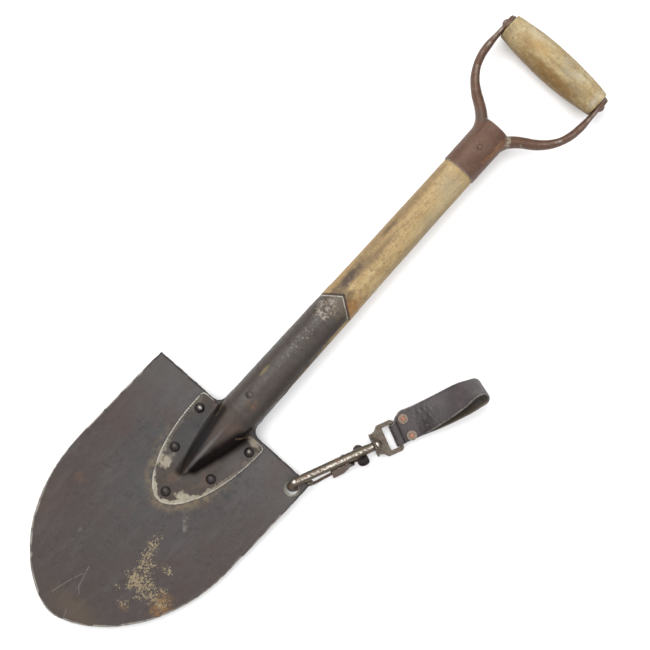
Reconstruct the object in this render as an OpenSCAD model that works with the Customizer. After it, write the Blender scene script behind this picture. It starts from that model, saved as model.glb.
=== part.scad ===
// Camp shovel with a riveted heart plate, a wooden D-grip and a snap hook on a leather belt loop.
// It lies face up: X is across the blade, +Y runs up the shaft to the grip, Z is up.
// The origin is on the shaft's axis, at the middle of the bare wood.

/* [Handle] */
// Length of bare wood between the front strap's tip and the ferrule
bare_len = 155; // [145:1:165]
// Radius of the bare wood at the strap's tip
shaft_r_low = 17.2; // [17:0.1:17.4]
// Radius of the bare wood at the ferrule
shaft_r_high = 15.9; // [15.7:0.1:16.2]
// Length of the ferrule
ferrule_len = 47; // [44:1:50]
// Outer radius of the ferrule
ferrule_r = 16.8; // [16.6:0.1:17.2]
// Distance from the ferrule's mouth to the grip's axis
grip_reach = 129.5; // [127:0.5:132]
// Length of the wooden grip
grip_len = 107.8; // [106:0.1:107.8]
// Radius of the grip at its middle
grip_r = 16.7; // [15:0.1:17.5]
// Radius of the grip at its ends
grip_end_r = 12.2; // [11:0.1:13]

/* [Blade] */
// Width of the blade at its widest
blade_w = 186; // [182:1:190]
// Length of the blade from its top edge to its tip
blade_len = 246.7; // [238:0.1:252]
// Distance from the front strap's tip to the blade's top edge
socket_len = 147.6; // [146:0.1:150]
// Thickness of the blade's sheet
sheet = 1.8; // [1.6:0.1:2]
// Radius of the blade's dish
dish_r = 1100; // [1050:10:1200]
// How far the blade's tip is out of line with the handle, in degrees
blade_lean = 1.8; // [0:0.1:2]

/* [Socket and heart plate] */
// Outer radius of the socket at the front strap's tip
socket_r_top = 17.9; // [17.8:0.1:18.1]
// Outer radius of the socket at its neck
socket_r_neck = 19.5; // [19.3:0.1:19.8]
// Thickness of the straps, the keel and the heart plate
strap_th = 1.6; // [1.4:0.1:1.7]
// Half the width of the heart plate
heart_half_w = 38.7; // [37:0.1:40]
// Length of the heart plate
heart_len = 103; // [100:0.5:106]
// Length of the keel from the neck to its tip
keel_len = 84; // [80:1:88]

/* [Snap hook] */
// Radius of the hook's bar
bar_r = 3.85; // [3.6:0.05:3.9]
// Distance between the bar's axis and the nose's axis
hook_gap = 13.8; // [13.7:0.1:14]
// Direction of the hook in plan, in degrees from +X
hook_yaw = 66; // [60:1:70]
// Fall of the hook towards its swivel, in degrees
hook_pitch = 5.2; // [4.8:0.1:5.3]
// Turn of the hook about its bar, in degrees from upright
hook_roll = 30; // [28:1:31]
// Thickness of the gate's sheet
gate_sheet = 1; // [0.8:0.1:1]

/* [Swivel and belt loop] */
// Distance from the flange to the bar that holds the leather
swivel_reach = 24.6; // [24:0.1:25.2]
// Thickness of the swivel plate
swivel_th = 2; // [1.8:0.1:2]
// Thickness of the leather
leather_th = 2.3; // [2:0.1:2.3]
// Width of the leather
leather_w = 29; // [28:0.5:30]
// Length of the loop from its bar to its far end
loop_len = 90; // [87:1:93]

/* [Hidden] */
$fn = 48;
gap = 0.05;

// Stations along the shaft
tip_y = -bare_len / 2;
ferrule_y = bare_len / 2;
shoulder_y = tip_y - 12;
neck_y = tip_y - 140;
top_y = tip_y - socket_len;
wood_top_y = ferrule_y + ferrule_len - 4.5;
grip_y = ferrule_y + grip_reach;
floor_z = -19.6;

// The dish is part of a ball, and this is its lowest point
dish_y = -345;
dish_z = -13;

// Rivets of the heart plate: place across, and distance below the blade's top edge
plate_rivets = [[-30.5, 15.5], [30.5, 15.5], [-22.3, 57.8], [22.3, 57.8], [0, 94.2]];
rivet_r = 2.2;
rivet_head_r = 5;

// Rivets of the front strap: turned to the left about the shaft
strap_rivet_turn = 15;
upper_rivet_y = tip_y - 18;
lower_rivet_y = tip_y - 121.7;

// Hole in the blade's corner, and the point of the hook's bend that sits in it
hole_xy = [81.2, top_y - 13.9];
hole_r = 5.5;
bend_r = hook_gap / 2;
bend_s = 6.4;
bend_turn = 29;
bend_rod_r = 2.8;
cross_point = [bend_s - bend_r * cos(bend_turn), 0, bend_r * (1 + sin(bend_turn))];

// Stations along the hook's bar, and its gate's pivot
pivot_s = 54.5;
pivot_n = 3.2;
pin_r = 1.4;
flange_s = 84;
shank_r = 2.8;
body_end = 83.7;
free = 0.35;

function dish_at(x, y) = dish_z + dish_r - sqrt(dish_r * dish_r - x * x - pow(y - dish_y, 2));
function on_dish(x, y, up) = [x, y, dish_at(x, y) + up];
function dish_slant(x, y) = [atan((y - dish_y) / dish_r), -atan(x / dish_r), 0];
function lean_x(y) = -(top_y - y) * tan(blade_lean);

// A smooth path through a list of points, with steps between each two of them
function blend_at(a, b, c, d, t) = 0.5 * (2 * b + (c - a) * t + (2 * a - 5 * b + 4 * c - d) * t * t
    + (3 * b - a - 3 * c + d) * t * t * t);
function smooth(p, steps) = [
    for (i = [0 : len(p) - 2], k = [0 : steps - 1])
        blend_at(p[max(i - 1, 0)], p[i], p[i + 1], p[min(i + 2, len(p) - 1)], k / steps),
    p[len(p) - 1]
];

// ---------------------------------------------------------------- shared shapes

// A closed skin over rings that have the same number of points
module skin(rings) {
    n = len(rings[0]);
    last = (len(rings) - 1) * n;
    sides = [
        for (k = [0 : len(rings) - 2], i = [0 : n - 1])
            let (a = k * n + i, b = k * n + (i + 1) % n)
                each [[a, b + n, b], [a, a + n, b + n]]
    ];
    ends = [[for (i = [0 : n - 1]) i], [for (i = [n - 1 : -1 : 0]) last + i]];
    polyhedron([for (r = rings) each r], concat(sides, ends), convexity = 8);
}

// Everything between two heights above the blade's front face
module dish_layer(low, high) {
    translate([0, dish_y, dish_z + dish_r]) rotate([90, 0, 0]) difference() {
        sphere(dish_r - low, $fn = 400);
        sphere(dish_r - high, $fn = 400);
    }
}

// Half the width of the socket's nose, which is bow-shaped in plan, at a distance from the neck
function bow(r, length, d) = let (arc = (r * r + length * length) / (2 * r))
    sqrt(arc * arc - d * d) - arc + r;

// Section of the nose: a round top that falls to the plate, straight sides, and the socket's round bottom
function keel_ring(r, length, d) =
    let (
        w = bow(r, length, max(d, 0)),
        top = (dish_at(0, neck_y - keel_len) + strap_th) * max(d, 0) / keel_len
    )
        [
            for (a = [7.5 : 15 : 352.5])
                [w * cos(a), neck_y - d, a < 180 ? top + w * sin(a) : -sqrt(r * r - pow(w * cos(a), 2))]
        ];

// The nose of the socket, which starts a little inside the barrel
module keel_form(r, length, lead = 0) {
    translate([0, neck_y, 0]) rotate([0, 0, -blade_lean]) translate([0, -neck_y, 0])
        skin([
            for (k = concat([-lead], [for (i = [1 : 9]) length * i / 10], [length * 0.97]))
                keel_ring(r, length, k)
        ]);
}

// The socket's tapered barrel, with more or less radius
module barrel(grow, more = 0) {
    translate([0, tip_y + more, 0]) rotate([90, 0, 0])
        cylinder(h = tip_y - neck_y + 2 * more, r1 = socket_r_top + grow, r2 = socket_r_neck + grow, $fn = 120);
}

// A shell between the socket's outside and its inside
module socket_shell() {
    difference() {
        union() {
            barrel(0);
            keel_form(socket_r_neck, keel_len);
        }
        barrel(-strap_th, 0.01);
        keel_form(socket_r_neck - strap_th, keel_len - 2.5, 1);
    }
}

// Plan of the front strap: a house-shaped tip that sits a little to the left
module front_strap_plan() {
    polygon([
        [-1.8, tip_y], [15.4, shoulder_y], [15.4, tip_y - 82], [20, tip_y - 124], [20, neck_y],
        [-20, neck_y], [-20, shoulder_y - 22], [-17.2, shoulder_y]
    ]);
}

// Bed cut in the wood for the front strap, a little wider than the strap
module front_recess_plan() {
    polygon([
        [-1.8, tip_y + 0.8], [15.9, shoulder_y + 0.4], [15.9, tip_y - 82], [18.4, tip_y - 104],
        [25, tip_y - 109], [25, neck_y - 1], [-25, neck_y - 1], [-25, shoulder_y - 5],
        [-17.6, shoulder_y + 0.4]
    ]);
}

// Plan of the rear strap: a tongue with a round end
module rear_strap_plan(more = 0) {
    end_r = 8.5;
    hull() {
        translate([0, tip_y - 7 - end_r]) circle(end_r);
        translate([-18.3, tip_y - 82]) square([36.6, 1]);
    }
    translate([-20, neck_y - more]) square([40, tip_y - 81.5 - neck_y + more]);
}

// Plan of the blade with its fillets up to the socket
module blade_plan() {
    half = blade_w / 2;
    wide_y = top_y - 105;
    round_len = top_y - blade_len - wide_y;
    turns = [for (a = [0 : 4 : 180]) a];
    fillet = 8.2;
    foot = socket_r_neck + 0.3;
    polygon(concat(
        [[-half + 1.4, top_y - 1], [-half + 2.4, top_y], [half - 2.4, top_y], [half - 1.4, top_y - 1]],
        [[half - 0.6 + lean_x(top_y - 50), top_y - 50]],
        [
            for (a = turns)
                let (y = wide_y + round_len * pow(sin(a), 2 / 2.15))
                    [half * sign(cos(a)) * pow(abs(cos(a)), 2 / 1.64) + lean_x(y), y]
        ],
        [[-half + 0.6 + lean_x(top_y - 50), top_y - 50]]
    ));
    difference() {
        translate([-foot - fillet, top_y - 1]) square([2 * (foot + fillet), fillet + 10]);
        for (side = [-1, 1]) translate([side * (foot + fillet), top_y + fillet]) {
            circle(fillet);
            translate([-fillet, 0]) square([2 * fillet, 20]);
        }
    }
}

// Plan of the heart plate
module heart_plan() {
    half = heart_half_w;
    corner = 4;
    heart_y = top_y - 2.3;
    turns = [for (a = [0 : 5 : 180]) a];
    rotate_about([0, heart_y], -blade_lean) {
        translate([0, heart_y]) polygon(concat(
            [[half - corner, 0], [half - 1, -1], [half, -corner]],
            [
                for (a = turns)
                    [half * sign(cos(a)) * pow(abs(cos(a)), 1.12), -corner - (heart_len - corner) * pow(sin(a), 0.93)]
            ],
            [[-half, -corner], [-half + 1, -1], [-half + corner, 0]]
        ));
    }
}

module rotate_about(point, angle) {
    translate(point) rotate(angle) translate(-point) children();
}

// ---------------------------------------------------------------- blade and socket

// Blade sheet with the rear half of the socket and the rear strap
module blade() color([0.34, 0.31, 0.31]) {
    difference() {
        union() {
            difference() {
                intersection() {
                    dish_layer(-sheet, 0);
                    translate([0, 0, -60]) linear_extrude(120) blade_plan();
                }
                keel_form(socket_r_neck - strap_th, keel_len - 2.5);
                barrel(-strap_th);
            }
            intersection() {
                socket_shell();
                union() {
                    intersection() {
                        dish_layer(-60, 0);
                        translate([-40, neck_y - 100, -60]) cube([80, 100, 120]);
                    }
                    translate([0, 0, -40]) linear_extrude(40) rear_strap_plan();
                }
            }
        }
        for (p = plate_rivets) at_plate_rivet(p) cylinder(h = 20, r = rivet_r, center = true);
        at_hole() cylinder(h = 12, r = hole_r, center = true);
        at_strap_rivet(upper_rivet_y) cylinder(h = 60, r = rivet_r, center = true);
        at_strap_rivet(lower_rivet_y) cylinder(h = 60, r = rivet_r, center = true);
    }
}

// Front pressing: heart plate, keel, front half of the socket and front strap
module socket_front() color([0.30, 0.26, 0.24]) {
    difference() {
        union() {
            difference() {
                intersection() {
                    dish_layer(0, strap_th);
                    translate([0, 0, -60]) linear_extrude(120) heart_plan();
                }
                keel_form(socket_r_neck - strap_th, keel_len - 2.5);
            }
            intersection() {
                socket_shell();
                union() {
                    intersection() {
                        dish_layer(0, 60);
                        translate([-40, neck_y - 100, -60]) cube([80, 100, 120]);
                    }
                    linear_extrude(40) front_strap_plan();
                }
            }
        }
        for (p = plate_rivets) at_plate_rivet(p) cylinder(h = 20, r = rivet_r, center = true);
        at_strap_rivet(upper_rivet_y) cylinder(h = 60, r = rivet_r, center = true);
        at_strap_rivet(lower_rivet_y) cylinder(h = 60, r = rivet_r, center = true);
    }
}

module at_plate_rivet(p) {
    y = top_y - p[1];
    x = p[0] + lean_x(y);
    translate(on_dish(x, y, 0)) rotate(dish_slant(x, y)) children();
}

module at_hole() {
    translate(on_dish(hole_xy[0], hole_xy[1], -sheet / 2)) rotate(dish_slant(hole_xy[0], hole_xy[1])) children();
}

module at_strap_rivet(y) {
    translate([0, y, 0]) rotate([0, -strap_rivet_turn, 0]) children();
}

// Part of a ball: a domed head that stands on z = 0
module dome(r, height) {
    ball = (r * r + height * height) / (2 * height);
    intersection() {
        translate([0, 0, height - ball]) sphere(ball, $fn = 64);
        cylinder(h = height + 1, r = r + 1);
    }
}

module blade_rivets() color([0.24, 0.22, 0.22]) {
    for (p = plate_rivets) at_plate_rivet(p) {
        translate([0, 0, strap_th + 0.02]) dome(rivet_head_r, 2.9);
        translate([0, 0, -sheet - 1]) cylinder(h = sheet + strap_th + 2, r = rivet_r - gap / 2);
        translate([0, 0, -sheet - 0.03]) mirror([0, 0, 1]) dome(4, 1.2);
    }
}

function barrel_r(y) = socket_r_top + (socket_r_neck - socket_r_top) * (tip_y - y) / (tip_y - neck_y);

module strap_rivet(y, head_r, head_h) {
    r = barrel_r(y);
    at_strap_rivet(y) {
        cylinder(h = 2 * r, r = rivet_r - gap / 2, center = true);
        for (side = [0, 1]) mirror([0, 0, side]) translate([0, 0, r - 0.15]) dome(head_r, head_h);
    }
}

module strap_rivet_upper() color([0.42, 0.37, 0.33]) strap_rivet(upper_rivet_y, 4.7, 1.3);

module strap_rivet_lower() color([0.28, 0.25, 0.24]) strap_rivet(lower_rivet_y, 3.7, 0.7);

// ---------------------------------------------------------------- handle

// Round shaft: let in flush under the straps, with its nose in the keel and its top in the ferrule
module shaft() color([0.66, 0.54, 0.36]) {
    flush = -0.25;
    difference() {
        union() {
            translate([0, wood_top_y, 0]) rotate([90, 0, 0])
                cylinder(h = wood_top_y - ferrule_y, r = ferrule_r - 1.4 - gap, $fn = 96);
            translate([0, ferrule_y, 0]) rotate([90, 0, 0])
                cylinder(h = bare_len, r1 = shaft_r_high, r2 = shaft_r_low, $fn = 96);
            barrel(flush);
            keel_form(socket_r_neck - strap_th - gap, keel_len - 4, 1);
        }
        difference() {
            union() {
                linear_extrude(40) front_recess_plan();
                translate([0, 0, -40]) linear_extrude(40.5) rear_strap_plan(0.5);
            }
            barrel(-strap_th - gap, 1);
        }
        for (y = [upper_rivet_y, lower_rivet_y]) at_strap_rivet(y) cylinder(h = 60, r = rivet_r, center = true);
        translate([0, ferrule_y + 26.5, 0]) cylinder(h = 60, r = rivet_r, center = true);
    }
}

// One arm of the yoke: place across, place along, half its thickness, half its depth
arm_path = [
    [9.5, 114, 6.5, 12], [14.5, 125, 5.7, 10.5], [20.5, 131, 5.2, 8.6], [28.5, 137, 4.7, 6.8], [36, 142, 4.3, 6],
    [44, 149.2, 3.8, 5.8], [50.6, 158.5, 3.4, 6], [54.9, 170, 3.3, 6.6], [56.5, 183, 3.2, 7.6],
    [56.6, 196, 2.5, 8.9], [56.5, 207, 2.4, 9.8]
];

function arm_ring(p, q, here) =
    let (t = [q[0] - p[0], q[1] - p[1]] / norm([q[0] - p[0], q[1] - p[1]]))
        [
            for (a = [0 : 22.5 : 337.5])
                [here[0] - t[1] * here[2] * cos(a), here[1] + t[0] * here[2] * cos(a), here[3] * sin(a)]
        ];

module arm() {
    path = smooth(arm_path, 3);
    last = len(path) - 1;
    skin([for (i = [0 : last]) arm_ring(path[max(i - 1, 0)], path[min(i + 1, last)], path[i])]);
}

// Ferrule and the two arms of the D, forged in one
module yoke() color([0.40, 0.31, 0.28]) {
    eye_in = grip_len / 2 + 0.2;
    difference() {
        union() {
            translate([0, ferrule_y, 0]) rotate([-90, 0, 0]) cylinder(h = ferrule_len, r = ferrule_r, $fn = 96);
            intersection() {
                translate([0, ferrule_y + ferrule_len, 0]) sphere(ferrule_r, $fn = 64);
                translate([0, ferrule_y + ferrule_len + 1.5, 0]) cube([40, 5.5, 40], center = true);
            }
            for (side = [0, 1]) mirror([side, 0, 0]) {
                arm();
                translate([eye_in, grip_y, 0]) rotate([0, 90, 0]) cylinder(h = 4.6, r1 = 10.4, r2 = 8.8);
            }
        }
        translate([0, ferrule_y - 1, 0]) rotate([-90, 0, 0])
            cylinder(h = wood_top_y - ferrule_y + 1.1, r = ferrule_r - 1.4, $fn = 96);
        translate([0, ferrule_y + 26.5, 0]) cylinder(h = 60, r = rivet_r, center = true);
        translate([-80, grip_y, 0]) rotate([0, 90, 0]) cylinder(h = 160, r = 3.1);
        // The arms stay clear of the grip's ends
        translate([0, grip_y, 0]) cube([2 * eye_in, 24, 30], center = true);
    }
}

module ferrule_pin() color([0.36, 0.28, 0.25]) {
    translate([0, ferrule_y + 26.5, 0]) cylinder(h = 2 * ferrule_r, r = rivet_r - gap / 2, center = true);
}

// Barrel-shaped grip
module grip() color([0.68, 0.56, 0.38]) {
    half = grip_len / 2;
    rise = grip_r - grip_end_r;
    arc = (half * half + rise * rise) / (2 * rise);
    translate([0, grip_y, 0]) rotate([0, 90, 0])
        rotate_extrude($fn = 96)
            difference() {
                intersection() {
                    translate([grip_r - arc, 0]) circle(arc, $fn = 720);
                    translate([0, -half]) square([grip_r, grip_len]);
                }
                translate([-1, -half]) square([1 + 3.1, grip_len]);
            }
}

module grip_rod() color([0.38, 0.30, 0.27]) {
    end_x = grip_len / 2 + 0.2 + 4.6;
    translate([0, grip_y, 0]) rotate([0, 90, 0]) {
        cylinder(h = 2 * end_x, r = 3.05, center = true);
        for (side = [0, 1]) mirror([0, 0, side]) translate([0, 0, end_x]) dome(4.2, 2.2);
    }
}

// ---------------------------------------------------------------- snap hook

// The hook's own frame: X along the bar to the swivel, Z from the bar to the nose and the gate
module at_hook() {
    translate(on_dish(hole_xy[0], hole_xy[1], -sheet / 2))
        rotate([180 - hook_roll, hook_pitch, hook_yaw])
            translate(-cross_point)
                children();
}

module rod_along(s, n, length, r) {
    translate([s, 0, n]) rotate([0, 90, 0]) cylinder(h = length, r = r);
}

// The forged rod from its thick end to its nose: place along, place across, radius, extra depth
rod_path = concat(
    [[body_end, 0, bar_r, 1.6], [42, 0, bar_r, 1.6], [37, 0, bar_r, 0], [24, 0, bar_r, 0], [14, 0, bar_r - 0.1, 0]],
    [
        for (a = [0 : 15 : 180])
            [bend_s - bend_r * sin(a), bend_r * (1 - cos(a)), bar_r - 0.4 - (bar_r - 0.4 - bend_rod_r) * a / 180, 0]
    ],
    [[12.4, hook_gap, 2.8, 0], [16, hook_gap + 0.4, 2.7, 0], [19, hook_gap + 0.9, 2.4, 0], [20.6, hook_gap + 1.2, 1.5, 0]]
);

function rod_ring(p, q, here) =
    let (t = [q[0] - p[0], q[1] - p[1]] / norm([q[0] - p[0], q[1] - p[1]]))
        [
            for (a = [0 : 15 : 345])
                let (up = here[2] * sin(a) + here[3] * max(sign(round(sin(a) * 100)), 0))
                    [here[0] + t[1] * up, -here[2] * cos(a), here[1] - t[0] * up]
        ];

// Forged body: bar, bend, nose and riveted shank
module hook_body() color([0.45, 0.37, 0.31]) at_hook() {
    last = len(rod_path) - 1;
    difference() {
        union() {
            skin([for (i = [0 : last]) rod_ring(rod_path[max(i - 1, 0)], rod_path[min(i + 1, last)], rod_path[i])]);
            rod_along(body_end - 1, 0, flange_s + 4 - body_end + 1, shank_r);
            rod_along(flange_s + swivel_th + 0.3, 0, 2.4, 4);
            translate([flange_s + swivel_th + 2.6, 0, 0]) rotate([0, 90, 0]) dome(4, 3.4);
        }
        translate([pivot_s, 0, pivot_n]) rotate([90, 0, 0]) cylinder(h = 20, r = pin_r + gap, center = true);
    }
}

// Side of the gate: one cheek
module cheek_plan() {
    difference() {
        union() {
            polygon([[39.2, 2.6], [40.6, 1.6], [53, 1.2], [56, 1.2], [58.4, 2.2], [58.4, 5.5], [62, 8.6], [62, 9.8],
                [56.6, 9.8], [51.4, 15.6], [50, 16.6], [39.2, 17.6]]);
            translate([pivot_s, pivot_n]) circle(2.8);
        }
        translate([pivot_s, pivot_n]) circle(pin_r + free);
    }
}

// Gate folded from one sheet: tongue over the nose, cheeks astride the body, thumb paddle behind
module hook_gate() color([0.33, 0.29, 0.29]) at_hook() {
    inner = bar_r + free;
    difference() {
        union() {
            for (b = [inner, -inner - gate_sheet])
                translate([0, b, 0]) rotate([90, 0, 0]) mirror([0, 0, 1]) linear_extrude(gate_sheet) cheek_plan();
            // Web that joins the cheeks outside the body
            rotate([90, 0, 0]) linear_extrude(2 * inner + 1, center = true)
                polygon([
                    [39.2, 16.6], [39.2, 17.6], [50, 16.6], [51.4, 15.6], [56.6, 9.8],
                    [62, 9.8], [62, 8.8], [56.4, 8.8], [50.8, 15], [49.5, 15.7]
                ]);
            // Tongue: the sheet folded double, with a cup for the nose
            rotate([90, 0, 0]) linear_extrude(2.4, center = true)
                polygon([
                    [14.6, hook_gap + 5], [15.4, hook_gap + 3.9], [17.5, hook_gap + 4.1], [22.5, hook_gap + 5.1],
                    [39.5, 16.4], [41, 17.6], [22.5, hook_gap + 7.4], [18, hook_gap + 7.2]
                ]);
            // Arm to the paddle
            translate([60, -3, 8.8]) cube([7, 6, 1]);
            // Paddle: a saddle with two ears
            intersection() {
                translate([0, 0, 9.8 - 17.5]) rotate([0, 90, 0]) difference() {
                    cylinder(h = 90, r = 17.5, $fn = 96);
                    translate([0, 0, -1]) cylinder(h = 92, r = 16.5, $fn = 96);
                }
                linear_extrude(30) translate([70.2, 0]) {
                    translate([0, -5.2]) circle(5.4);
                    translate([0, 6.8]) circle(5.4);
                    translate([0, 0.8]) square([10.8, 12], center = true);
                }
            }
        }
    }
}

module gate_pin() color([0.6, 0.56, 0.5]) at_hook() {
    half = bar_r + 1.6 * free + gate_sheet;
    translate([pivot_s, 0, pivot_n]) rotate([90, 0, 0]) {
        cylinder(h = 2 * half, r = pin_r, center = true);
        for (side = [0, 1]) mirror([0, 0, side]) translate([0, 0, half]) dome(2.6, 0.9);
    }
}

// Leaf spring bent to a U between the body and the gate's tail
module gate_spring() color([0.45, 0.44, 0.44]) at_hook() {
    low = 5.6;
    high = 8.6;
    mid = (low + high) / 2;
    rotate([90, 0, 0]) linear_extrude(3, center = true) {
        translate([62, low]) square([7, 0.5]);
        translate([62, high - 0.5]) square([6, 0.5]);
        translate([62, mid]) difference() {
            circle((high - low) / 2);
            circle((high - low) / 2 - 0.5);
            translate([0, -5]) square(10);
        }
    }
}

// ---------------------------------------------------------------- swivel and belt loop

// The swivel's own frame: X along the shank, Z up, at the middle of the flange
module at_swivel() {
    translate(on_dish(hole_xy[0], hole_xy[1], -sheet / 2))
        rotate([180 - hook_roll, hook_pitch, hook_yaw])
            translate([flange_s, 0, 0] - cross_point)
                rotate([hook_roll - 180, 0, 0])
                    children();
}

plate_drop = 7.3;

module swivel_plan() {
    difference() {
        polygon([
            [0, -9.5], [3.5, -10.5], [6.5, -11.5], [10, -15.5], [swivel_reach - 1, -15.5], [swivel_reach + 1.4, -13.5],
            [swivel_reach + 1.4, 13.5], [swivel_reach - 1, 15.5], [10, 15.5], [6.5, 11.5], [3.5, 10.5], [0, 9.5]
        ]);
        translate([13.8, -11.2]) square([swivel_reach, 22.4]);
    }
}

// Stamped plate with a slot for the leather and an upturned flange for the shank
module swivel_plate() color([0.44, 0.40, 0.37]) at_swivel() {
    difference() {
        union() {
            translate([0, 0, -plate_drop - swivel_th / 2]) linear_extrude(swivel_th) swivel_plan();
            // Round bar that carries the leather
            translate([swivel_reach, 0, -plate_drop]) rotate([90, 0, 0]) cylinder(h = 24, r = 1.4, center = true);
            intersection() {
                translate([0, -11, -plate_drop - swivel_th / 2]) cube([swivel_th, 22, 14]);
                rotate([0, 90, 0]) union() {
                    translate([0, 0, -1]) cylinder(h = 5, r = 6.2);
                    translate([2, -11, -1]) cube([20, 22, 5]);
                }
            }
        }
        translate([-1, 0, 0]) rotate([0, 90, 0]) cylinder(h = 5, r = shank_r + free);
    }
}

// The leather's own frame: X along the strap, Z up, on the axis of the bar in its fold
module at_loop() {
    at_swivel() translate([swivel_reach, 0, -plate_drop]) rotate([0, -hook_pitch, 0]) children();
}

// The loop's run: place along the strap, turn about its length, height, place across, width
loop_run = [
    [-4, 0, 0, 0, 21.5], [2.6, 0, 0, 0, 21.5], [5.5, 0, 0.1, 3, 26], [8, 0, 0.25, 4.5, 29], [15, 0, 0.25, 4.5, 29],
    [21.8, 9, 1, 4.2, 29], [35.5, 24, 6.1, 4.6, 29], [49, 31, 8.5, 5.2, 29], [67.3, 43, 11.3, 6.5, 29],
    [79.2, 60, 12.3, 6.8, 29], [loop_len, 62, 12.3, 6.8, 29]
];
function run_at(x, k) = lookup(x, [for (r = loop_run) [r[0], r[k]]]);

// A station of the strap: place along, distance from the middle layer, direction along, and its run
function stop(x, n) = [x, n, run_at(x, 1), run_at(x, 2), run_at(x, 3), run_at(x, 4)];

far_r = 5.6;
far_x = loop_len - far_r - leather_th / 2;
bar_fold = 2 + leather_th / 2;
layer = leather_th + 0.1;

// From the hidden tab, round the swivel's bar, along below, round the far end and back on top
loop_stops = concat(
    [for (x = [18, 15, 12, 9]) stop(x, 0)],
    [stop(6.4, 0.5), stop(4.2, 1.7), stop(2, 2.8)],
    [for (a = [90 : 20 : 270]) stop(bar_fold * cos(a), bar_fold * sin(a))],
    [stop(3, -bar_fold), stop(6, -layer - 0.3), stop(9, -layer), stop(12, -layer), stop(15, -layer)],
    [stop(21.8, -2), stop(35.5, -3.7), stop(49, -4.9), stop(67.3, -6), stop(79, -5.9)],
    [for (a = [-90 : 22.5 : 90]) stop(far_x + far_r * cos(a), far_r * sin(a))],
    [stop(79, 5.9), stop(67.3, 6), stop(49, 4.9), stop(35.5, 3.7), stop(21.8, 2.2)],
    [stop(18, layer), stop(15, layer), stop(12, layer), stop(9, layer), stop(6.6, layer + 0.5), stop(4.4, layer + 1.6)]
);

// Four corners of the strap at a station
function strap_ring(p, q, here) =
    let (
        t = [q[0] - p[0], q[1] - p[1]] / norm([q[0] - p[0], q[1] - p[1]]),
        c = cos(here[2]),
        s = sin(here[2])
    )
        [
            for (k = [[-1, -1], [-1, 1], [1, 1], [1, -1]])
                let (
                    w = k[0] * here[5] / 2,
                    x = here[0] + t[1] * k[1] * leather_th / 2,
                    n = here[1] - t[0] * k[1] * leather_th / 2
                )
                    [x, here[4] + w * c + n * s, here[3] - w * s + n * c]
        ];

loop_rivet_xy = [[10.9, 11.4], [12.3, -5.9]];

module at_loop_rivets() {
    for (p = loop_rivet_xy) translate([p[0], p[1], 0.25]) children();
}

// One strap folded round the swivel's bar and sewn back on itself by two rivets
module belt_loop() color([0.20, 0.17, 0.17]) at_loop() {
    stops = smooth(loop_stops, 2);
    last = len(stops) - 1;
    difference() {
        skin([for (i = [0 : last]) strap_ring(stops[max(i - 1, 0)], stops[min(i + 1, last)], stops[i])]);
        at_loop_rivets() cylinder(h = 12, r = 1.65, center = true);
    }
}

module loop_rivets() color([0.72, 0.45, 0.33]) at_loop() {
    half = layer + leather_th / 2;
    at_loop_rivets() {
        translate([0, 0, -half - 1]) cylinder(h = 1, r = 4.5);
        translate([0, 0, -half - 1]) cylinder(h = 2 * half + 2.2, r = 1.6);
        translate([0, 0, half + 1.05]) cylinder(h = 0.6, r1 = 2.4, r2 = 2);
    }
}

module loop_washers() color([0.66, 0.52, 0.42]) at_loop() {
    at_loop_rivets() translate([0, 0, layer + leather_th / 2 + 0.03]) difference() {
        cylinder(h = 1, r = 4.75);
        translate([0, 0, -1]) cylinder(h = 3, r = 1.65);
    }
}

blade();
socket_front();
blade_rivets();
strap_rivet_upper();
strap_rivet_lower();
shaft();
yoke();
ferrule_pin();
grip();
grip_rod();
hook_body();
hook_gate();
gate_pin();
gate_spring();
swivel_plate();
belt_loop();
loop_rivets();
loop_washers();
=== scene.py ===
"""A camp shovel on a pale floor: worn painted steel, bare weathered wood, a snap hook and a leather belt loop.

Lengths are millimetres here; meshes are made in metres, like the frame.
"""

import itertools
import math

import bpy
import numpy as np
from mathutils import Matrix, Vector


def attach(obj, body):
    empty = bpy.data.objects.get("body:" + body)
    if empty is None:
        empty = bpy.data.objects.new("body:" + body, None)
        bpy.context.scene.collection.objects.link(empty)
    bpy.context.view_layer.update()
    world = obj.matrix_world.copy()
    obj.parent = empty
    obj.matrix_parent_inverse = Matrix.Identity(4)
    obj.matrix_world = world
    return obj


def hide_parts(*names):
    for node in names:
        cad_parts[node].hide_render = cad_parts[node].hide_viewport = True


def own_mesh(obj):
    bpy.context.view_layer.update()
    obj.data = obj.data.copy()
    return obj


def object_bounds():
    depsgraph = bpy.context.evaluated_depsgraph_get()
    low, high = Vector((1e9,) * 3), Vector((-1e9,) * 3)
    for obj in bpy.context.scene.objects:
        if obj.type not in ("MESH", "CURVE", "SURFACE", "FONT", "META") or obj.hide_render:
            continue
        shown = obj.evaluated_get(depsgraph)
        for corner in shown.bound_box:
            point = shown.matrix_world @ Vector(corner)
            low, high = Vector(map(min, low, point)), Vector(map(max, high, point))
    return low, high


MM = 0.001
scene = bpy.context.scene


# ---------------------------------------------------------------- camera and light

CAMERA_AIM = (3.6, -107.6)
CAMERA_HEIGHT = 1090
CAMERA_TURN = 42  # degrees about the vertical
CAMERA_ANGLE = 30.36  # degrees from side to side of the picture

# The middle of the object, in metres
MIDDLE = Vector((0, -0.1, 0))
LIGHT_HEIGHT = 1.4
LIGHT_SIZE = 1.5
# Level and colour of the sky at the horizon and overhead
SKY = [(0.05, (0.30, 0.30, 0.31, 1)), (0.85, (1, 1, 1, 1))]
SKY_STRENGTH = 1.2


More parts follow.
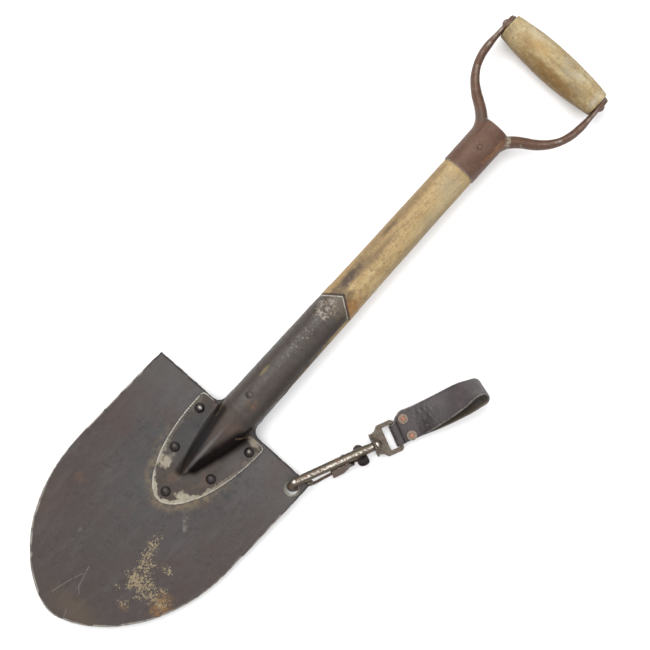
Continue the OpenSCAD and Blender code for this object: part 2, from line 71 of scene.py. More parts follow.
def make_camera():
    data = bpy.data.cameras.new("camera")
    data.angle = math.radians(CAMERA_ANGLE)
    camera = bpy.data.objects.new("camera", data)
    camera.location = (CAMERA_AIM[0] * MM, CAMERA_AIM[1] * MM, CAMERA_HEIGHT * MM)
    camera.rotation_euler = (0, 0, math.radians(CAMERA_TURN))
    scene.collection.objects.link(camera)
    scene.camera = camera


make_camera()
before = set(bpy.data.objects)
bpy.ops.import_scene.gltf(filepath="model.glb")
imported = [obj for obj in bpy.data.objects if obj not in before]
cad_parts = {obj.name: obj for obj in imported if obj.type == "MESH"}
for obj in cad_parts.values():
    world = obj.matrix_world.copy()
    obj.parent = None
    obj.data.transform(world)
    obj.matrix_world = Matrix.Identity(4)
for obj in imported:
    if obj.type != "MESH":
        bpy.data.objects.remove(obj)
cad_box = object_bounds()


def turned(x, y):
    """A direction given across and up the picture, in the row frame."""
    a = math.radians(CAMERA_TURN)
    return x * math.cos(a) - y * math.sin(a), x * math.sin(a) + y * math.cos(a)


def area_light(name, across, up, power):
    """A soft light over a place across and up the picture, in metres, aimed at the object's middle."""
    data = bpy.data.lights.new(name, "AREA")
    data.size = LIGHT_SIZE
    data.energy = power
    lamp = bpy.data.objects.new(name, data)
    x, y = turned(across, up)
    lamp.location = (x, y + MIDDLE.y, LIGHT_HEIGHT)
    lamp.rotation_euler = (MIDDLE - lamp.location).to_track_quat("-Z", "Y").to_euler()
    scene.collection.objects.link(lamp)


def light_studio():
    area_light("soft_box", -0.55, 0.75, 27)
    area_light("fill_box", 0.9, -0.3, 8)
    world = bpy.data.worlds.new("studio")
    scene.world = world
    world.use_nodes = True
    tree = world.node_tree
    back = tree.nodes["Background"]
    where = tree.nodes.new("ShaderNodeTexCoord")
    split = tree.nodes.new("ShaderNodeSeparateXYZ")
    ramp = tree.nodes.new("ShaderNodeValToRGB")
    tree.links.new(where.outputs["Generated"], split.inputs[0])
    tree.links.new(split.outputs[2], ramp.inputs[0])
    tree.links.new(ramp.outputs[0], back.inputs[0])
    for element, (level, colour) in zip(ramp.color_ramp.elements, SKY):
        element.position = level
        element.color = colour
    back.inputs[1].default_value = SKY_STRENGTH
    scene.view_settings.view_transform = "Standard"


light_studio()


# ---------------------------------------------------------------- materials

# Pigments are written as they look under a plain lamp; the studio here is brighter
TONE = 0.62

RUST = (0.30, 0.12, 0.035)
OCHRE = (0.20, 0.13, 0.055)
BARE = (0.46, 0.43, 0.38)
# Painted shade for hollows and crevices
HOLLOW_SHADE = (0.012, 0.011, 0.010)

# Places in plan
HOOK_HOLE = (81.2, -239)
FERRULE_PIN = (0, 104)


def toned(colour):
    return (*(TONE * v for v in colour), 1)


def scaled(colour, amount):
    return tuple(amount * v for v in colour)


class Shader:
    """A node material whose patterns are placed in the row frame, in millimetres."""

    def __init__(self, name):
        self.material = bpy.data.materials.new(name)
        self.material.use_nodes = True
        self.tree = self.material.node_tree
        self.bsdf = self.tree.nodes["Principled BSDF"]
        where = self.add("ShaderNodeTexCoord").outputs["Object"]
        self.place = self.vector("SCALE", where, scale=1 / MM)
        self.x, self.y = self.split(self.place)[:2]

    def add(self, kind, **fields):
        node = self.tree.nodes.new(kind)
        for key, value in fields.items():
            setattr(node, key, value)
        return node

    def put(self, socket, value):
        if isinstance(value, bpy.types.NodeSocket):
            self.tree.links.new(value, socket)
        else:
            socket.default_value = value

    def split(self, vector):
        node = self.add("ShaderNodeSeparateXYZ")
        self.put(node.inputs[0], vector)
        return node.outputs

    def vector(self, operation, a, b=None, scale=None):
        node = self.add("ShaderNodeVectorMath", operation=operation)
        self.put(node.inputs[0], a)
        if b is not None:
            self.put(node.inputs[1], b)
        if scale is not None:
            self.put(node.inputs["Scale"], scale)
        return node.outputs["Value" if operation in ("LENGTH", "DOT_PRODUCT") else "Vector"]

    def math(self, operation, a, b=0.0, c=0.0, clamp=False):
        node = self.add("ShaderNodeMath", operation=operation, use_clamp=clamp)
        for socket, value in zip(node.inputs, (a, b, c)):
            self.put(socket, value)
        return node.outputs[0]

    def times(self, *values):
        total = values[0]
        for value in values[1:]:
            total = self.math("MULTIPLY", total, value, clamp=True)
        return total

    def most(self, *values):
        total = values[0]
        for value in values[1:]:
            total = self.math("MAXIMUM", total, value)
        return total

    def not_(self, value):
        return self.math("SUBTRACT", 1.0, value, clamp=True)

    def within(self, value, low, high):
        """0 up to low, 1 from high on, smooth between them."""
        node = self.add("ShaderNodeMapRange", interpolation_type="SMOOTHSTEP")
        self.put(node.inputs["Value"], value)
        node.inputs["From Min"].default_value = low
        node.inputs["From Max"].default_value = high
        return node.outputs[0]

    def below(self, start, end):
        """0 down to y = -start, 1 from y = -end on."""
        return self.within(self.math("MULTIPLY", self.y, -1.0), start, end)

    def noise(self, size, detail=4.0, rough=0.55, stretch=(1, 1, 1), warp=0.0, offset=0.0):
        """Noise from 0 to 1 with features of about that size, drawn out along the axes by stretch."""
        node = self.add("ShaderNodeTexNoise")
        place = self.vector("MULTIPLY", self.place, tuple(1 / (size * s) for s in stretch))
        self.put(node.inputs["Vector"], self.vector("ADD", place, (offset, offset * 0.7, -offset)))
        node.inputs["Scale"].default_value = 1
        node.inputs["Detail"].default_value = detail
        node.inputs["Roughness"].default_value = rough
        node.inputs["Distortion"].default_value = warp
        return node.outputs[0]

    def patches(self, low, high, *size, **shape):
        """Noise cut into patches: 0 up to low, 1 from high on."""
        return self.within(self.noise(*size, **shape), low, high)

    def cells(self, size):
        """Distance from the middle of the nearest of many small cells."""
        node = self.add("ShaderNodeTexVoronoi")
        self.put(node.inputs["Vector"], self.vector("MULTIPLY", self.place, (1 / size,) * 3))
        node.inputs["Scale"].default_value = 1
        return node.outputs["Distance"]

    def attribute(self, name):
        return self.add("ShaderNodeAttribute", attribute_name=name).outputs["Fac"]

    def proud(self, low, high):
        return self.within(self.attribute("convex"), low, high)

    def sunk(self, low=0.1, high=0.5):
        return self.within(self.attribute("hollow"), low, high)

    def facing_up(self):
        """The vertical part of the surface's direction."""
        return self.split(self.add("ShaderNodeNewGeometry").outputs["Normal"])[2]

    def spot(self, centre, size, ragged=0.35, soft=0.5, grain=6.0):
        """An oval patch with a ragged outline: 1 inside, 0 outside."""
        offset = self.vector("SUBTRACT", self.place, (centre[0], centre[1], 0))
        flat = self.vector("MULTIPLY", offset, (1 / size[0], 1 / size[1], 0))
        reach = self.vector("LENGTH", flat)
        if ragged:
            wobble = self.math("SUBTRACT", self.noise(grain, 3.0), 0.5)
            reach = self.math("MULTIPLY_ADD", wobble, 2 * ragged, reach)
        return self.not_(self.within(reach, 1 - soft, 1))

    def stroke(self, start, end, width):
        """A thin line between two points of the plan."""
        run = (end[0] - start[0], end[1] - start[1], 0)
        square = run[0] ** 2 + run[1] ** 2
        offset = self.vector("MULTIPLY", self.vector("SUBTRACT", self.place, (start[0], start[1], 0)), (1, 1, 0))
        along = self.math("DIVIDE", self.vector("DOT_PRODUCT", offset, run), square, clamp=True)
        nearest = self.vector("SCALE", run, scale=along)
        gap = self.vector("LENGTH", self.vector("SUBTRACT", offset, nearest))
        return self.not_(self.within(gap, width * 0.3, width))

    def mix(self, factor, a, b):
        """Between two colours."""
        node = self.add("ShaderNodeMix", data_type="RGBA")
        self.put(node.inputs["Factor"], factor)
        self.put(node.inputs["A"], toned(a) if isinstance(a, tuple) else a)
        self.put(node.inputs["B"], toned(b) if isinstance(b, tuple) else b)
        return node.outputs["Result"]

    def over(self, colour, tint, mask, amount):
        """The colour with an amount of a tint laid over it where the mask is 1."""
        return self.mix(self.times(mask, amount), colour, tint)

    def blend(self, factor, a, b):
        """Between two numbers."""
        node = self.add("ShaderNodeMix", data_type="FLOAT")
        self.put(node.inputs["Factor"], factor)
        self.put(node.inputs["A"], a)
        self.put(node.inputs["B"], b)
        return node.outputs["Result"]

    def ramp(self, factor, *stops):
        """A colour for each value, from (value, colour) stops."""
        node = self.add("ShaderNodeValToRGB")
        line = node.color_ramp
        while len(line.elements) < len(stops):
            line.elements.new(0.5)
        for element, (position, colour) in zip(line.elements, stops):
            element.position = position
            element.color = toned(colour)
        self.put(node.inputs[0], factor)
        return node.outputs[0]

    def relief(self, *layers):
        """Bump from (height from 0 to 1, depth in millimetres) layers."""
        normal = None
        for height, depth in layers:
            node = self.add("ShaderNodeBump")
            node.inputs["Strength"].default_value = 1
            node.inputs["Distance"].default_value = depth * MM
            self.put(node.inputs["Height"], height)
            if normal is not None:
                self.put(node.inputs["Normal"], normal)
            normal = node.outputs[0]
        self.put(self.bsdf.inputs["Normal"], normal)

    def finish(self, colour, rough, metal=0.0, specular=0.5):
        self.put(self.bsdf.inputs["Base Color"], colour)
        self.put(self.bsdf.inputs["Roughness"], rough)
        self.put(self.bsdf.inputs["Metallic"], metal)
        self.put(self.bsdf.inputs["Specular IOR Level"], specular)
        return self.material


# Flakes of pale paint at the blade's lower right: centre, size, raggedness, softness, grain and strength
FLAKE_FIELDS = [
    ((37, -398), (24, 17), 0.5, 0.8, 9, 1.0), ((29, -382), (14, 12), 0.5, 0.8, 6, 0.9),
    ((22, -367), (10, 21), 0.6, 0.9, 8, 0.72), ((56, -397), (18, 13), 0.5, 0.8, 8, 0.9),
    ((36, -421), (9, 6), 0.5, 0.8, 5, 0.8), ((22, -415), (6, 4), 0.5, 0.8, 5, 0.6),
    ((46, -372), (9, 6), 0.6, 0.8, 5, 0.8),
]
# Scratches near the blade's tip: start, end and width
SCRATCHES = [
    ((-9, -418), (-4, -437), 0.7), ((-4, -437), (1, -442), 0.6), ((-9, -426), (-15, -441), 0.6),
    ((-15, -441), (-19, -456), 0.7), ((2, -460), (4.5, -466), 0.7),
]


def blade_material():
    s = Shader("blade_paint")
    cloud = s.noise(60, 4.0, 0.55)
    fine = s.noise(5, 5.0, 0.65)
    drawn = s.noise(9, 4.0, 0.6, stretch=(1, 4, 1))
    colour = s.ramp(
        cloud, (0.30, (0.062, 0.050, 0.047)), (0.52, (0.076, 0.066, 0.065)), (0.72, (0.072, 0.070, 0.072)),
    )
    # Browner towards the rim, bluer in the middle, paler at the top
    outer = s.not_(s.spot((0, -300), (88, 120), 0.15, 0.75, 40))
    colour = s.over(colour, (0.070, 0.046, 0.040), outer, 0.6)
    colour = s.over(colour, (0.062, 0.066, 0.075), s.spot((-20, -290), (75, 70), 0.2, 0.9, 30), 0.45)
    colour = s.over(colour, (0.105, 0.090, 0.086), s.within(drawn, 0.48, 0.70), 0.5)
    brushed = s.patches(0.52, 0.68, 2.2, 5.0, 0.7, stretch=(1, 7, 1), offset=1.0)
    colour = s.over(colour, (0.040, 0.032, 0.031), brushed, 0.40)
    colour = s.over(colour, (0.034, 0.025, 0.023), s.within(fine, 0.54, 0.70), 0.45)
    dust = s.patches(0.56, 0.70, 2.0, 5.0, 0.7, offset=6.0)
    colour = s.over(colour, (0.155, 0.135, 0.125), dust, 0.40)
    colour = s.over(colour, (0.115, 0.112, 0.108), s.within(s.y, -300, -235), 0.45)
    blots = s.times(s.spot((0, -275), (85, 65), 0.3, 0.8, 20), s.patches(0.50, 0.62, 8, 5.0, 0.68, offset=2.0))
    colour = s.over(colour, (0.028, 0.031, 0.033), blots, 0.70)
    reddish = s.patches(0.50, 0.66, 24, 4.0, 0.65, offset=11.0)
    colour = s.over(colour, (0.088, 0.052, 0.042), reddish, 0.40)
    # Warm earth stains: near the tip, at the left and round the heart plate
    colour = s.over(colour, OCHRE, s.spot((8, -455), (48, 18), 0.4, 0.9, 18), 0.30)
    colour = s.over(colour, RUST, s.spot((-70, -362), (9, 8), 0.6, 0.9, 5), 0.16)
    colour = s.over(colour, RUST, s.spot((-78, -395), (20, 40), 0.5, 0.9, 12), 0.06)
    halo = s.times(s.attribute("halo"), s.patches(0.36, 0.6, 7, 5.0, 0.7))
    colour = s.over(colour, (0.25, 0.185, 0.10), halo, 0.70)
    # Pale flakes and the rust beside them
    field = s.most(*[s.times(s.spot(*place), strength) for *place, strength in FLAKE_FIELDS])
    flecks_and_glints = s.math("MULTIPLY_ADD", s.noise(6, 3.0), 0.35, s.noise(1.8, 4.0, 0.66, warp=0.5))
    flecks_and_glints = s.math("MULTIPLY_ADD", field, 0.17, flecks_and_glints)
    flakes = s.times(s.within(flecks_and_glints, 0.795, 0.85), s.within(field, 0.02, 0.3))
    rust = s.most(s.spot((66, -401), (15, 19), 0.5, 0.8, 6), s.times(s.spot((40, -424), (7, 6), 0.6, 0.9, 4), 0.6))
    rust = s.times(rust, s.patches(0.38, 0.56, 2.8, 5.0, 0.7))
    colour = s.over(colour, s.mix(s.noise(4, 3.0), (0.26, 0.12, 0.045), (0.42, 0.23, 0.09)), rust, 0.85)
    colour = s.over(colour, s.mix(s.noise(8), (0.42, 0.31, 0.15), (0.54, 0.46, 0.31)), flakes, 0.85)
    # Pale marks and scratches
    streak = s.times(s.stroke((27.5, -326), (34, -334), 3.6), s.patches(0.42, 0.60, 3.4, 5.0, 0.8, warp=0.8))
    small = s.times(s.spot((-38, -398), (3, 4), 0.8, 0.9, 2), 0.4)
    colour = s.over(colour, (0.34, 0.30, 0.24), s.most(streak, small), 0.50)
    scratch = s.times(s.most(*[s.stroke(*line) for line in SCRATCHES]), s.patches(0.24, 0.52, 2, 3.0))
    colour = s.over(colour, (0.33, 0.31, 0.29), scratch, 0.45)
    colour = s.over(colour, (0.030, 0.021, 0.018), s.below(235, 460), 0.30)
    # Edges: a painted shadow along the top edge, olive round the hook's hole, worn bright elsewhere
    hole = s.spot(HOOK_HOLE, (9.5, 9.5), 0, 0.3)
    top_edge_shadow = s.times(s.within(s.y, -262, -240), s.not_(hole))
    rim = s.proud(0.03, 0.14)
    colour = s.over(colour, (0.27, 0.25, 0.18), s.times(rim, hole), 0.7)
    colour = s.over(colour, (0.022, 0.016, 0.014), s.times(rim, top_edge_shadow), 0.85)
    tip_edge = s.times(s.proud(0.05, 0.16), s.below(370, 420))
    worn = s.times(s.most(s.proud(0.11, 0.30), tip_edge), s.not_(top_edge_shadow), s.patches(0.28, 0.50, 9, 4.0))
    colour = s.over(colour, BARE, worn, 0.85)
    # Painted shade in the hollows
    colour = s.over(colour, HOLLOW_SHADE, s.attribute("hollow"), 0.8)
    s.relief(
        (s.noise(1.3, 5.0, 0.7), 0.10), (s.within(s.cells(2.2), 0.0, 0.35), 0.05), (drawn, 0.12),
        (s.not_(flakes), 0.05),
    )
    rough = s.blend(s.within(fine, 0.35, 0.7), 0.42, 0.60)
    return s.finish(colour, s.blend(s.most(flakes, rust), rough, 0.85), s.blend(worn, 0.0, 0.7), 0.32)


def socket_material():
    s = Shader("socket_paint")
    cloud = s.noise(22, 5.0, 0.6)
    fine = s.noise(3.5, 5.0, 0.65)
    colour = s.ramp(
        cloud, (0.32, (0.046, 0.029, 0.021)), (0.52, (0.062, 0.045, 0.035)), (0.75, (0.062, 0.053, 0.049)),
    )
    on_plate = s.below(224, 228)
    streaks = s.times(on_plate, s.patches(0.48, 0.66, 10, 5.0, 0.6, stretch=(1, 2.5, 1)))
    colour = s.over(colour, (0.13, 0.075, 0.05), streaks, 0.5)
    right = s.times(on_plate, s.spot((27, -255), (12, 26), 0.4, 0.9, 8))
    colour = s.over(colour, (0.105, 0.090, 0.090), right, 0.55)
    # Paint gone down to pale metal along the lower rim
    ragged = s.math("MULTIPLY", s.math("SUBTRACT", s.noise(8, 5.0, 0.65), 0.5), 2.4)
    ragged = s.math("ADD", s.attribute("near_rim"), ragged)
    low = s.math("MULTIPLY_ADD", s.below(262, 318), 0.85, 0.15, clamp=True)
    left_patch = s.times(s.spot((-21, -297), (6, 10), 0.9, 0.6, 5), on_plate)
    right_patch = s.times(s.spot((12, -313), (10, 6), 0.9, 0.6, 5), on_plate)
    corner = s.times(s.spot((27, -231), (10, 5), 0.7, 0.7, 4), on_plate, 0.7)
    bare = s.most(s.times(s.within(ragged, 0.74, 0.88), low), left_patch, right_patch, corner)
    colour = s.over(colour, s.mix(s.noise(6, 3.0), (0.36, 0.30, 0.19), (0.55, 0.51, 0.42)), bare, 0.85)
    # The strap's tip: brown, outlined, and worn round its rivet
    chips = s.times(s.spot((-5.5, -96), (10, 15), 0.7, 0.5, 4), s.patches(0.47, 0.57, 2.6, 5.0, 0.72, offset=5.0))
    mottle = s.patches(0.50, 0.66, 5, 5.0, 0.68, offset=4.0)
    colour = s.over(colour, (0.026, 0.018, 0.015), mottle, 0.40)
    trail = s.times(s.spot((-4, -135), (8, 36), 0.5, 0.9, 5), s.patches(0.57, 0.65, 2.2, 3.0))
    brown_end = s.times(s.spot((1, -87), (24, 17), 0.4, 0.7, 6), s.patches(0.30, 0.55, 3.5, 5.0, 0.65))
    colour = s.over(colour, (0.155, 0.112, 0.072), brown_end, 0.75)
    left_corner, point, right_corner = (-17.2, -89.8), (-1.8, -77.8), (15.4, -89.8)
    outline = s.most(s.stroke(left_corner, point, 1.25), s.stroke(point, right_corner, 1.25))
    outline = s.times(outline, s.patches(0.33, 0.60, 3, 4.0, 0.65))
    colour = s.over(colour, (0.56, 0.50, 0.41), outline, 0.8)
    colour = s.over(colour, (0.44, 0.38, 0.31), s.most(chips, s.times(trail, 0.6)), 0.8)
    # Marks along the socket
    rusty = s.times(s.spot((3, -204), (9, 6), 0.6, 0.8, 4), s.patches(0.4, 0.6, 3, 4.0))
    speck = s.times(s.spot((0, -160), (5, 7), 0.6, 0.9, 4), s.patches(0.6, 0.68, 2.2, 3.0))
    colour = s.over(colour, (0.25, 0.19, 0.07), s.spot((-9.5, -174), (2.2, 8), 0.4, 0.7, 3), 0.6)
    colour = s.over(colour, (0.24, 0.10, 0.045), rusty, 0.6)
    colour = s.over(colour, (0.36, 0.30, 0.27), speck, 0.7)
    dots = s.times(s.spot((8, -262), (8, 34), 0.4, 0.8, 6), s.patches(0.66, 0.72, 1.7, 3.0))
    colour = s.mix(dots, colour, (0.30, 0.15, 0.08))
    blue = s.times(on_plate, s.spot((-18, -262), (26, 42), 0.3, 0.7, 9))
    colour = s.over(colour, (0.040, 0.047, 0.052), blue, 0.6)
    # The keel: painted shade on its flanks, a brown back, painted highlights along the fold lines and painted shade
    # in the creases where it meets the blade's top, painted shade down the barrel's right, and a painted highlight
    # along the ridge
    flank_shade = s.most(
        s.stroke((16, -235), (9, -260), 11), s.stroke((9, -260), (2, -286), 9),
        s.times(s.stroke((-15, -226), (-5.5, -296), 7), 0.8),
    )
    flank_shade = s.times(flank_shade, s.patches(0.10, 0.36, 5, 4.0))
    colour = s.over(colour, (0.006, 0.004, 0.004), flank_shade, 0.95)
    colour = s.over(colour, (0.085, 0.048, 0.038), s.spot((0, -236), (13, 26), 0.3, 0.9, 10), 0.45)
    fold_highlights = s.most(s.stroke((-18, -219), (-15, -234), 1.3), s.stroke((13, -238), (21, -230), 1.3))
    fold_highlights = s.times(fold_highlights, s.patches(0.36, 0.58, 2.2, 4.0, 0.65))
    colour = s.over(colour, (0.28, 0.20, 0.12), fold_highlights, 0.5)
    crease = s.most(s.stroke((-21, -219), (-16.5, -233), 3.4), s.stroke((17, -222), (15, -232), 3.0))
    colour = s.over(colour, (0.010, 0.008, 0.007), crease, 0.8)
    shade = s.times(s.not_(on_plate), s.within(s.x, 2, 13))
    colour = s.over(colour, (0.030, 0.022, 0.018), shade, 0.35)
    ridge = s.times(s.spot((-1.5, -268), (2.6, 48), 0.15, 0.9, 8), s.within(s.facing_up(), 0.6, 0.95))
    colour = s.over(colour, (0.21, 0.20, 0.20), ridge, 0.5)
    # Edges worn bright, painted shade in the hollows
    worn = s.times(s.most(s.proud(0.14, 0.40), s.attribute("rim")), s.patches(0.26, 0.48, 6, 4.0))
    colour = s.over(colour, (0.80, 0.77, 0.68), worn, 0.9)
    hollow = s.sunk()
    colour = s.over(colour, HOLLOW_SHADE, hollow, 0.9)
    colour = s.over(colour, (0.028, 0.021, 0.019), s.within(fine, 0.56, 0.75), 0.35)
    s.relief((s.noise(1.2, 5.0, 0.7), 0.10), (s.noise(14, 3.0), 0.5), (s.not_(s.most(bare, chips)), 0.06))
    rough = s.blend(s.within(fine, 0.35, 0.7), 0.36, 0.55)
    shine = s.blend(s.most(flank_shade, crease, hollow), 0.36, 0.05)
    return s.finish(colour, s.blend(bare, rough, 0.75), s.blend(worn, 0.0, 0.75), shine)


def wood_material(name, along, light, dark, pale, brown, seed, stains_and_shade=(), shadows=()):
    """Bare wood with its grain drawn out along one axis.

    The stain entries are (centre, size, colour, amount), mottled unless they are nearly full, and a few of them are
    painted shade; shadows are painted shadow lines.
    """
    s = Shader(name)

    def drawn_out(size, detail, rough, length, **shape):
        stretch = [1.0, 1.0, 1.0]
        stretch[along] = length
        return s.noise(size, detail, rough, stretch=tuple(stretch), **shape)

    fibre = drawn_out(1.1, 4.0, 0.65, 14.0, offset=seed)
    band = drawn_out(7.5, 3.0, 0.5, 14.0, warp=0.4, offset=seed)
    pores = drawn_out(0.55, 2.0, 0.5, 5.0, offset=seed)
    cloud = s.noise(24, 4.0, 0.6, offset=seed)
    colour = s.ramp(band, (0.28, dark), (0.45, light), (0.62, light), (0.80, pale))
    colour = s.over(colour, dark, s.within(fibre, 0.48, 0.68), 0.50)
    colour = s.over(colour, scaled(dark, 0.45), s.within(pores, 0.60, 0.70), 0.45)
    colour = s.over(colour, pale, s.within(cloud, 0.52, 0.72), 0.55)
    mottle = s.noise(5, 5.0, 0.7, offset=seed + 5)
    blotch = drawn_out(11, 4.0, 0.6, 2.0, offset=seed + 2)
    colour = s.over(colour, brown, s.within(blotch, 0.50, 0.66), 0.55)
    colour = s.over(colour, scaled(light, 0.50), s.within(mottle, 0.51, 0.64), 0.65)
    scuffs = s.patches(0.58, 0.68, 1.6, 4.0, 0.7, offset=seed + 8)
    colour = s.over(colour, scaled(pale, 1.3), scuffs, 0.6)
    for centre, size, tint, amount in stains_and_shade:
        patch = s.spot(centre, size, 0.45, 0.85, 5)
        if amount < 0.97:
            patch = s.times(patch, s.within(mottle, 0.14, 0.50))
        colour = s.over(colour, tint, patch, amount)
    for start, end in shadows:
        colour = s.over(colour, (0.045, 0.030, 0.025), s.stroke(start, end, 2.2), 0.85)
    # Painted shade on the side faces
    shaded_sides = s.not_(s.within(s.facing_up(), 0.05, 0.65))
    colour = s.over(colour, scaled(brown, 0.75), shaded_sides, 0.40)
    # Painted shade in the hollows
    colour = s.over(colour, (0.08, 0.05, 0.03), s.attribute("hollow"), 0.6)
    s.relief((fibre, 0.16), (pores, 0.08), (s.noise(2.2, 3.0), 0.08))
    return s.finish(colour, s.blend(fibre, 0.52, 0.70), 0.0, 0.30)


def yoke_material():
    s = Shader("yoke_iron")
    cloud = s.noise(16, 5.0, 0.6)
    fine = s.noise(2.6, 5.0, 0.7)
    colour = s.ramp(
        cloud, (0.3, (0.112, 0.050, 0.028)), (0.52, (0.150, 0.074, 0.044)), (0.74, (0.142, 0.084, 0.053)),
    )
    colour = s.over(colour, (0.055, 0.030, 0.022), s.within(fine, 0.52, 0.68), 0.6)
    colour = s.over(colour, (0.090, 0.080, 0.062), s.spot((-18, 127), (11, 8), 0.4, 0.8, 5), 0.45)
    colour = s.over(colour, (0.26, 0.15, 0.11), s.patches(0.60, 0.72, 3.2, 4.0, 0.6, stretch=(1, 6, 1)), 0.35)
    # Crumbs of pale paint in the crotch and an orange streak down the ferrule
    paint = s.most(
        s.spot((13.5, 128), (4, 3), 0.9, 0.6, 2), s.spot((17, 124), (3, 4.5), 0.9, 0.6, 2),
        s.times(s.spot((31, 131.5), (7, 1.4), 0.7, 0.6, 3), 0.7),
    )
    paint = s.times(paint, s.patches(0.36, 0.54, 1.8, 4.0, 0.65))
    colour = s.over(colour, (0.46, 0.42, 0.30), paint, 0.75)
    orange = s.times(s.stroke((12, 96), (13, 122), 4), s.patches(0.40, 0.60, 4, 4.0, 0.6, stretch=(1, 3, 1)))
    colour = s.over(colour, (0.36, 0.15, 0.05), orange, 0.6)
    # Bright edges and painted shade in the hollows, but not round the ferrule's pin
    off_pin = s.not_(s.spot(FERRULE_PIN, (5, 5), 0, 0.15))
    worn = s.times(s.proud(0.12, 0.30), s.patches(0.36, 0.58, 8, 4.0), off_pin)
    colour = s.over(colour, (0.50, 0.45, 0.40), worn, 0.75)
    colour = s.over(colour, HOLLOW_SHADE, s.times(s.sunk(), off_pin), 0.85)
    s.relief((s.noise(1.0, 5.0, 0.7), 0.12), (s.noise(5, 3.0), 0.25))
    return s.finish(colour, s.blend(fine, 0.42, 0.62), s.blend(worn, 0.15, 0.7), 0.35)


def steel_material(name, base, rust, bright, shine=0.5, rust_level=0.5, seed=0.0, flecks_and_glints=(), side_shade=0.0, slate_and_shade=()):
    """Old plain steel: patches of rust, worn bright where it stands proud, painted shade in the hollows and a
    painted highlight on faces that look up.

    The fleck entries are painted highlight spots (x, y, width, amount); the dull entries are centres of dark spots,
    partly slate steel and partly painted shade; grime is the strength of painted shade on the side faces; shine is
    the strength of the painted highlight on faces that look up.
    """
    s = Shader(name)
    cloud = s.noise(6, 5.0, 0.65, offset=seed)
    fine = s.noise(1.2, 5.0, 0.7, offset=seed)
    rusty = s.within(cloud, rust_level, rust_level + 0.14)
    colour = s.mix(rusty, base, rust)
    colour = s.over(colour, scaled(rust, 0.35), s.within(fine, 0.54, 0.7), 0.55)
    for centre in slate_and_shade:
        colour = s.over(colour, (0.058, 0.053, 0.055), s.spot(centre, (6.5, 6.5), 0.2, 0.4, 4), 0.85)
    # Painted shade on the side faces, and a painted highlight on faces that look up, laid in with the wear
    level = s.facing_up()
    if side_shade:
        shaded_sides = s.not_(s.within(level, 0.25, 0.75))
        colour = s.over(colour, scaled(rust, 0.25), shaded_sides, side_shade)
    up = s.within(level, 0.93, 0.998)
    wear_and_highlight = s.most(s.times(s.proud(0.12, 0.35), 0.9), s.times(up, shine))
    wear_and_highlight = s.times(wear_and_highlight, s.patches(0.43, 0.56, 2.6, 5.0, 0.68, offset=seed + 3))
    for x, y, width, amount in flecks_and_glints:
        wear_and_highlight = s.most(wear_and_highlight, s.times(s.spot((x, y), (width, 0.8 * width), 0.3, 0.6, 2), amount))
    colour = s.mix(wear_and_highlight, colour, bright)
    colour = s.over(colour, HOLLOW_SHADE, s.sunk(), 0.8)
    s.relief((s.noise(0.8, 4.0, 0.7), 0.09), (cloud, 0.12))
    rough = s.blend(wear_and_highlight, s.blend(rusty, 0.42, 0.65), 0.28)
    return s.finish(colour, rough, s.blend(wear_and_highlight, s.blend(rusty, 0.75, 0.15), 0.95), 0.5)


def leather_material():
    s = Shader("loop_leather")
    cloud = s.noise(14, 4.0, 0.6)
    colour = s.ramp(
        cloud, (0.3, (0.036, 0.026, 0.026)), (0.55, (0.062, 0.044, 0.046)), (0.75, (0.088, 0.064, 0.066)),
    )
    fold = s.attribute("crease")
    colour = s.over(colour, (0.026, 0.020, 0.021), fold, 0.45)
    border = s.times(s.attribute("border"), s.patches(0.25, 0.5, 5, 4.0))
    colour = s.over(colour, (0.020, 0.015, 0.015), border, 0.55)
    scuffed = s.math("MULTIPLY_ADD", fold, 0.9, 0.22, clamp=True)
    colour = s.over(colour, (0.20, 0.18, 0.175), s.times(s.patches(0.54, 0.68, 1.8, 5.0, 0.7), scuffed), 0.65)
    edge = s.times(s.within(s.attribute("edge"), 0.35, 0.8), s.patches(0.34, 0.56, 4, 4.0))
    colour = s.over(colour, (0.24, 0.21, 0.18), edge, 0.55)
    cracks = s.patches(0.55, 0.66, 1.5, 5.0, 0.7, stretch=(1, 2, 1), offset=3.0)
    colour = s.over(colour, (0.012, 0.009, 0.008), cracks, 0.35)
    # A painted highlight on the sloping faces of the loop's far end
    far_end_gleam = s.times(
        s.spot((150, -60), (14, 15), 0.4, 0.9, 5), s.patches(0.36, 0.62, 3, 5.0, 0.7, offset=2.0),
        s.within(s.facing_up(), 0.2, 0.7),
    )
    colour = s.over(colour, (0.19, 0.185, 0.185), far_end_gleam, 0.5)
    colour = s.over(colour, (0.105, 0.080, 0.050), s.attribute("inside"), 0.7)
    pebble = s.within(s.cells(1.1), 0.0, 0.5)
    s.relief((pebble, 0.08), (s.noise(2.4, 5.0, 0.65), 0.34), (s.noise(0.8, 3.0), 0.06))
    return s.finish(colour, s.blend(s.noise(7, 3.0), 0.34, 0.56), 0.0, 0.45)


def copper_material():
    s = Shader("copper_rivet")
    fine = s.noise(0.9, 4.0, 0.65)
    colour = s.ramp(fine, (0.3, (0.20, 0.085, 0.05)), (0.55, (0.47, 0.215, 0.135)), (0.75, (0.66, 0.37, 0.26)))
    s.relief((s.noise(0.7, 3.0), 0.10), (s.noise(2.0, 2.0), 0.2))
    return s.finish(colour, s.blend(fine, 0.3, 0.5), 0.75)


def washer_material():
    s = Shader("washer_metal")
    fine = s.noise(1.0, 5.0, 0.7)
    colour = s.ramp(fine, (0.3, (0.085, 0.055, 0.042)), (0.5, (0.27, 0.205, 0.16)), (0.72, (0.50, 0.42, 0.35)))
    # Painted shade in the hollows
    colour = s.over(colour, HOLLOW_SHADE, s.sunk(), 0.8)
    s.relief((s.noise(0.8, 4.0, 0.7), 0.10))
    return s.finish(colour, 0.5, 0.55)


